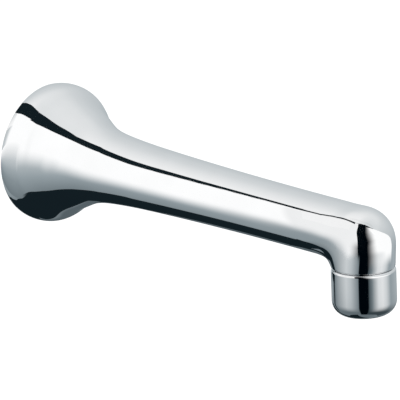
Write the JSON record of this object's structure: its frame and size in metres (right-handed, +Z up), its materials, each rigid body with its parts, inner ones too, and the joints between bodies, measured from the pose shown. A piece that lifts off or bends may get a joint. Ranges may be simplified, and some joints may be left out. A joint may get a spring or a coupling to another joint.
{
  "type": "wall spout",
  "caption": "Chromed wall-mounted bath or basin spout: a bell-shaped flange runs into a slim tapering tube that turns down to a screw-on aerator at the outlet.",
  "frame": {"origin": "middle of the wall face, on the tube's axis", "axes": "+Y into the wall, so the spout reaches out along -Y; +Z up, opposite to the outlet"},
  "size_m": [0.0632, 0.2037, 0.0664],
  "materials": {
    "chrome_body": "polished chrome plate on cast brass",
    "chrome_collar": "polished chrome plate on turned brass",
    "black_rubber": "matt moulded rubber",
    "white_plastic": "moulded acetal",
    "blue_plastic": "moulded acetal",
    "grey_plastic": "moulded acetal",
    "steel_mesh": "woven stainless wire"
  },
  "bodies": {
    "root": {"spout_body": "chrome_body", "aerator_housing": "chrome_collar", "aerator_gasket": "black_rubber", "cartridge_case": "white_plastic", "inlet_strainer": "blue_plastic", "regulator_seat": "white_plastic", "regulator_ring": "black_rubber", "jet_plate": "grey_plastic", "mixing_screen": "steel_mesh", "outlet_grid": "grey_plastic"}
  },
  "joints": []
}
